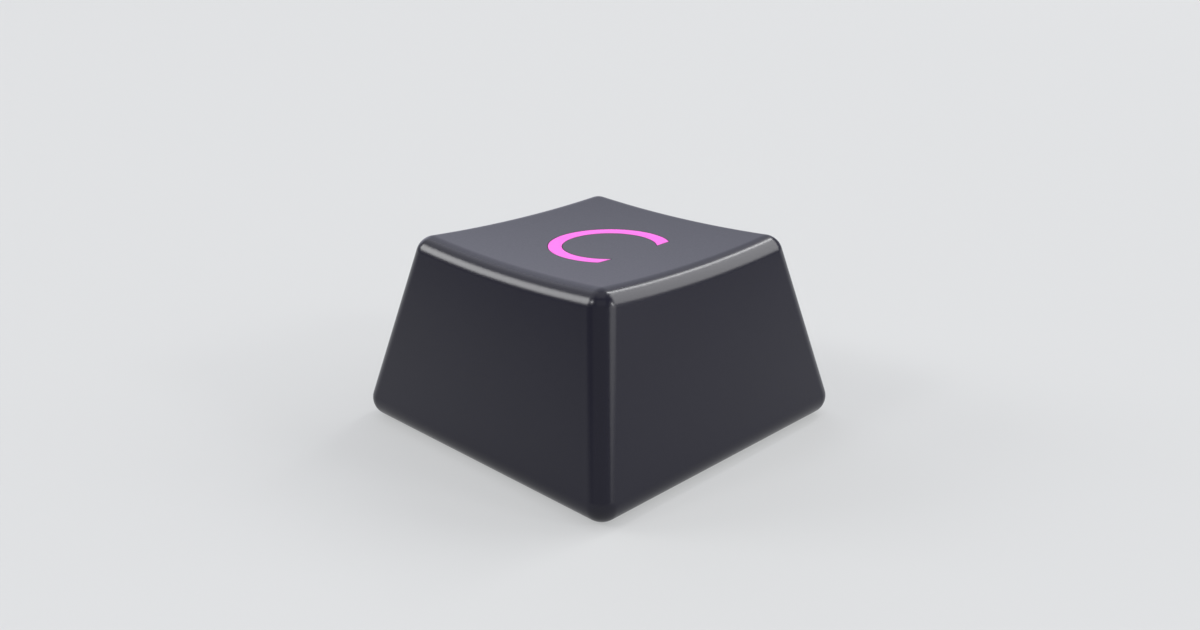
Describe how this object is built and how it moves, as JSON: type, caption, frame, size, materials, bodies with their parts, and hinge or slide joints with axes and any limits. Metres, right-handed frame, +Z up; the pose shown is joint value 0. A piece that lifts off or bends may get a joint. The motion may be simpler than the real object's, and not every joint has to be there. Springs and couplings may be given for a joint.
{
  "type": "keycap",
  "caption": "Square keyboard keycap with leaning sides, rounded edges and a dished top with an inlaid letter; hollow below, with a post that has a cross-shaped socket.",
  "frame": {"origin": "middle of the foot, on the plane that the rim stands on", "axes": "+Z up through the dish, the letter reads along +X, the user's side of the key is -Y"},
  "size_m": [0.018, 0.018, 0.01],
  "materials": {
    "cap_plastic": "satin",
    "legend_plastic": "satin"
  },
  "bodies": {
    "root": {"cap": "cap_plastic", "legend": "legend_plastic"}
  },
  "joints": []
}
